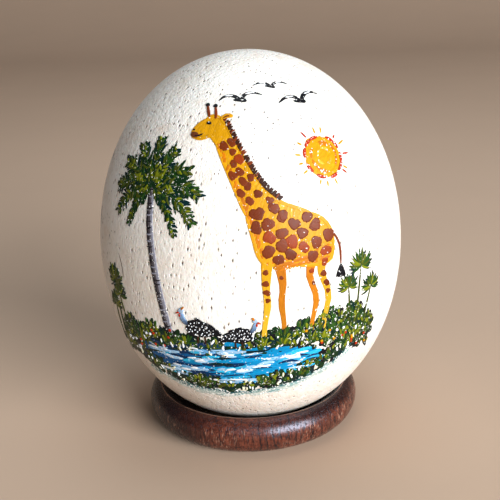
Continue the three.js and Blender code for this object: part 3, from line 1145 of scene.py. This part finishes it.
# %% Guineafowl
HEN = [(-5.6, 5.2), (-4.4, 7.8), (-1.5, 9.2), (2.5, 8.6), (6.2, 6.0), (9.0, 2.8), (6.0, 2.6),
       (2.5, 1.6), (-2, 1.6), (-4.8, 3.0)]


def guineafowl(name, around, climb, facing, size):
    """One hen in its own millimetres, turned to face left or right and scaled to a size."""
    bird = Motif(name, around, climb, base=4)
    flip = np.array([facing * size, size])
    bird.paint(fill(np.array(HEN) * flip, 0.85, slant=-0.35 * facing, longest=9, ragged=0.3), 1.35,
               BLACK, dry=0.4, shade=0.02, thick=0.05)
    tail = np.array([(6.4, 5.4), (8.2, 3.4), (9.6, 0.6)]) * flip
    bird.paint(np.stack([tail, tail + (-1.1 * facing, -0.3)]), 1.5 * size, BLACK, taper=0.3, dry=0.5)
    bird.paint(np.array([(-4.6, 6.6), (-6.3, 8.6), (-6.8, 11.2)]) * flip, 1.9 * size,
               (0.020, 0.03, 0.06), to=(0.20, 0.32, 0.50), layer=1, dry=0.2)
    bird.paint(np.array([(-7.7, 11.6), (-6.8, 12.3), (-5.9, 11.8)]) * flip, 2.1 * size,
               (0.30, 0.42, 0.56), layer=1, stations=6, ends=2.2, dry=0.1)
    bird.paint(np.array([(-6.6, 12.6), (-6.1, 13.4), (-5.5, 13.9)]) * flip, 0.7, DEEP_GOLD, layer=2,
               stations=5, ends=2.2)
    bird.paint(np.array([(-7.4, 11.6), (-8.4, 11.3), (-9.3, 10.8)]) * flip, 0.7, ORANGE_RED,
               layer=2, stations=5, taper=0.6)
    bird.paint(np.array([(-7.3, 11.0), (-7.5, 10.3), (-7.4, 9.6)]) * flip, 0.8, ORANGE_RED,
               layer=2, stations=5, ends=2.2)
    legs = np.array([[(-0.6, 2.2), (-0.9, 0.3), (-1.2, -1.8)], [(1.8, 2.2), (2.2, 0.3), (1.8, -1.8)]])
    bird.paint(legs * flip, 0.55, UMBER, stations=6)
    x, y = np.meshgrid(np.arange(-5.2, 8.8, 1.9), np.arange(2.2, 9.2, 1.35))
    x = x + 0.95 * (np.arange(len(x)) % 2)[:, None]
    dots = np.stack([x.ravel(), y.ravel()], -1) + jitter(0.22, (x.size, 2))
    dots = dots[inside(dots, HEN) & inside(dots + (0.5, 0.4), HEN)] * flip
    bird.paint(dabs(dots, random.uniform(0, 3.1, len(dots)), 0.45), 0.42, WHITE, layer=2, stations=5,
               ends=2.0, thick=0.16, dry=0.0, shade=0.03)
    bird.piece(acrylic_paint)


guineafowl("guineafowl_left", -21.5, GROUND, 1, 0.98)
guineafowl("guineafowl_right", -5.5, GROUND - 1.5, -1, 0.86)

# %% [markdown]
# ## Sun and birds
#
# The sun is a disc of slanting golden strokes with rings of curved ones over it, straw in the
# middle and orange red along the rim, and loose rays round it. Each bird is two bowed black
# strokes and a short body, with a white glint on each wing.

# %% Sun
sun = Motif("sun", 35, 46)
SUN_RADIUS = 7.6
RAY_FOOT = 9.2                          # where the rays start, from the middle
RAYS = 15


def ring_strokes(radius, amount, sweep, loose):
    """Knots of strokes that follow a circle, each through a sweep of it, starting anywhere."""
    start = round_circle(amount) + loose * random.random(amount)
    angle = start[:, None] + sweep * np.linspace(0, 1, 4)
    reach = radius + jitter(0.25, (amount, 1))
    return reach[..., None] * pointing(angle)


disc = SUN_RADIUS * pointing(round_circle(40))
sun.paint(fill(disc, 1.2, slant=0.6, longest=16, ragged=0.2), 2.1, GOLD, dry=0.1, shade=0.035,
          thick=0.045)
sun.paint(ring_strokes(SUN_RADIUS - 0.5, 6, 1.25, 0.2), 1.5, GOLD, layer=1, thick=0.05, shade=0.03)
sun.paint(ring_strokes(5.6, 8, 0.8, 0.9), 1.0, DEEP_GOLD, layer=1, dry=0.6, ends=2.2, thick=0.05)
sun.paint(ring_strokes(2.8, 4, 1.1, 0.9), 1.0, STRAW, layer=1, dry=0.55, ends=2.2, thick=0.05)
sun.paint(ring_strokes(SUN_RADIUS + 0.3, 10, 0.5, 0.4), 1.3, ORANGE_RED, layer=2, dry=0.5, ends=2.4)
ray_angle = round_circle(RAYS) + jitter(0.08, RAYS)
ray_foot = RAY_FOOT * pointing(ray_angle)
sun.paint(dabs(ray_foot, ray_angle, random.uniform(1.8, 3.6, RAYS)), 0.95,
          pick([GOLD, ORANGE_RED], RAYS), stations=6, ends=2.2, taper=0.4, dry=0.3)
sun.piece(acrylic_paint)

# %% Birds in the sky
birds = Motif("birds", 14, 69)
WING = np.array([(0, 0), (2.2, 2.4), (5.2, 2.6), (8.2, 0.9)])
for x, y, size, tilt in ((-10, 3.0, 1.05, 0.14), (2.5, 9.0, 0.85, -0.05), (13, 0.5, 1.15, 0.10)):
    lean = np.array([[math.cos(tilt), math.sin(tilt)], [-math.sin(tilt), math.cos(tilt)]])
    both = np.stack([WING, WING * (-1, 1)]) * size @ lean + (x, y)
    birds.paint(both, 1.9 * size, BLACK, taper=0.6, dry=0.4, stations=10, thick=0.07)
    body = np.array([(1.8, -0.7), (0, 0.1), (-2.8, 0.5)]) * size @ lean + (x, y)
    birds.paint(body, 2.0 * size, BLACK, taper=0.3, layer=1, ends=2.4, dry=0.3, thick=0.07)
    glint = (np.stack([WING, WING * (-1, 1)])[:, 1:3] + (0, 0.1)) * size @ lean + (x, y)
    birds.paint(glint, 0.5 * size, WHITE, layer=2, stations=6, ends=2.0, dry=0.5)
birds.piece(acrylic_paint)

# %% [markdown]
# ## Hairs in the varnish
#
# A few dark hairs of the brush lie on the bare shell at the left, each a thin bowed line.

# %% Brush hairs
hairs = Motif("brush_hairs", 0, 0)
HAIRS = [[(-79.5, 44.5), (-78.2, 42.0), (-76.0, 39.5)], [(-83.5, 20.5), (-83.8, 17.0), (-80.8, 13.5)],
         [(-60.5, 7.0), (-58.6, 2.5), (-58.0, -2.5)]]
hairs.paint(HAIRS, 0.34, UMBER, stations=10, ends=2.4, thick=0.05, dry=0.0)
hairs.piece(acrylic_paint)

# %% [markdown]
# ## Reeds and flowers
#
# Papyrus grows at both ends of the bank: thin bowed stems that each end in a mop of short
# rays. Dabs of red, gold and white are flowers.

# %% Reeds
reeds = Motif("reeds", 0, GROUND, base=2)


def papyrus(motif, x, lean, height, mop):
    """One stem with its mop: rays that leave its tip through three quarters of a circle."""
    foot = np.array([x, shore(x) - 1.0])
    stem = foot + np.array([(0, 0), (lean * 0.2, 0.5), (lean, 1.0)]) * (1, height)
    motif.paint(stem, 1.05, DARK_GREEN, to=MOSS, stations=12, taper=0.4, dry=0.35)
    for layer, amount, chosen in ((0, 25, [DARK_GREEN, TEAL, LEAF]), (1, 15, [LIME, MOSS, LEAF])):
        angle = np.linspace(-0.35, np.pi + 0.35, amount) + jitter(0.10, amount)
        size = mop * random.uniform(0.75, 1.1, amount) * (1 - 0.15 * layer)
        start = stem[-1] + (0.2 + 0.1 * layer) * pointing(angle)
        motif.paint(dabs(start, angle, size, -0.12 * np.cos(angle)), 1.0,
                    pick(chosen, amount), layer=layer, stations=6, ends=2.0, taper=0.3, dry=0.25)


for x, lean, height, mop in ((-64, -1, 30, 6.5), (-59.5, -3, 22, 5.5), (-68, 0, 20, 5.5),
                             (43, 2, 31, 6.5), (39.5, -1, 23, 5.2), (47, 4, 22, 5.5)):
    papyrus(reeds, x, lean, height, mop)
reeds.piece(acrylic_paint)

# %% Flowers
flowers = Motif("flowers", 0, GROUND, base=4)
spot_x = np.concatenate([random.uniform(-62, -34, 14), random.uniform(18, 50, 18)])
spots = np.stack([spot_x, shore(spot_x) + random.uniform(-5.0, 3.5, len(spot_x))], -1)
flowers.paint(dabs(spots, random.uniform(0, 3.1, len(spots)), 1.3), 1.15,
              pick([ORANGE_RED, GOLD, ORANGE_RED, WHITE], len(spots)), stations=5, ends=2.0,
              thick=0.15, dry=0.05)
flowers.piece(acrylic_paint)

# %% [markdown]
# ## Floor and light
#
# The egg stands on a plain pale floor that curves up far behind it. A large soft lamp at the
# right and in front is the window: it makes that side of the shell almost white. It stands
# metres away, so that it lights the floor evenly. Two weak lamps, in front and above, keep the
# shaded side readable, and the sky fills the rest. The floor is quite dull, because a low lamp
# would otherwise glare on it.

# %% Floor
FLOOR_NEAR, FLOOR_FAR = 8.0, 1.5        # metres in front of the egg and behind it
BEND = 2.6                              # radius of the curve at the back
FLOOR_WIDTH = 18.0
BACKDROP = 4.5
FLOOR_COLOUR = (0.56, 0.405, 0.295)


def sweep_profile(steps=40):
    """Side view of floor and backdrop, from the front: level, then a quarter circle of radius
    BEND, then upright."""
    angle = np.linspace(0, np.pi / 2, steps)
    bend = np.stack([FLOOR_FAR + BEND * np.sin(angle), BEND * (1 - np.cos(angle))], -1)
    return np.vstack([[-FLOOR_NEAR, 0], bend, [FLOOR_FAR + BEND, BACKDROP]])


def floor_finish():
    """The floor's colour with faint clouds a twentieth darker."""
    finish = Finish("floor", Roughness=0.9, Specular_IOR_Level=0.0)
    cloud = finish.noise(finish.place(), 0.12)
    darker = tuple(0.95 * c for c in FLOOR_COLOUR)
    finish.surface(Base_Color=finish.mix(cloud, FLOOR_COLOUR, darker))
    return finish.material


profile = sweep_profile()
edge = np.array([-FLOOR_WIDTH / 2, FLOOR_WIDTH / 2])
grid = np.stack([np.tile(edge, (len(profile), 1)), np.repeat(profile[:, :1], 2, 1),
                 np.repeat(profile[:, 1:], 2, 1)], -1).reshape(-1, 3)
strip = 2 * np.arange(len(profile) - 1)[:, None] + np.array([0, 1, 3, 2])
floor = new_piece("floor", grid, strip.tolist())
floor.data.materials.append(floor_finish())
print("floor", FLOOR_WIDTH, "m wide, backdrop", BACKDROP, "m high")

# %% Light
def softbox(name, place, aim, size, power, colour):
    """An area light at a place, so wide and high, facing the point it aims at."""
    lamp = bpy.data.lights.new(name, "AREA")
    lamp.shape = "RECTANGLE"
    lamp.size, lamp.size_y = size
    lamp.energy = power
    lamp.color = colour
    box = bpy.data.objects.new(name, lamp)
    box.location = place
    box.rotation_euler = (Vector(aim) - Vector(place)).to_track_quat("-Z", "Y").to_euler()
    scene.collection.objects.link(box)


MIDDLE = (0, 0, EGG_MIDDLE)
softbox("window", (2.66, -3.20, 1.12), MIDDLE, (3.1, 2.1), 432.0, (0.93, 0.965, 1.0))
softbox("fill", (-0.15, -1.15, 0.50), MIDDLE, (0.8, 0.8), 1.6, (0.93, 0.96, 1.0))
softbox("top", (0.05, 0.15, 1.0), MIDDLE, (0.6, 0.6), 3.9, (0.80, 0.91, 1.0))

sky = bpy.data.worlds.new("sky")
sky.use_nodes = True
sky.node_tree.nodes["Background"].inputs["Color"].default_value = (0.74, 0.82, 0.92, 1)
sky.node_tree.nodes["Background"].inputs["Strength"].default_value = 0.105
scene.world = sky
scene.view_settings.view_transform = "Standard"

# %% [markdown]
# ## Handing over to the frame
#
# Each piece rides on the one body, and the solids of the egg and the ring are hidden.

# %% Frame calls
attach(egg, "root")
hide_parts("egg")
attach(ring, "root")
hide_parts("ring_stand")
for piece in pieces:
    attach(piece, "root")


def corners(box):
    """The two corners of a box as plain lists of numbers."""
    return [[float(c) for c in corner] for corner in box]
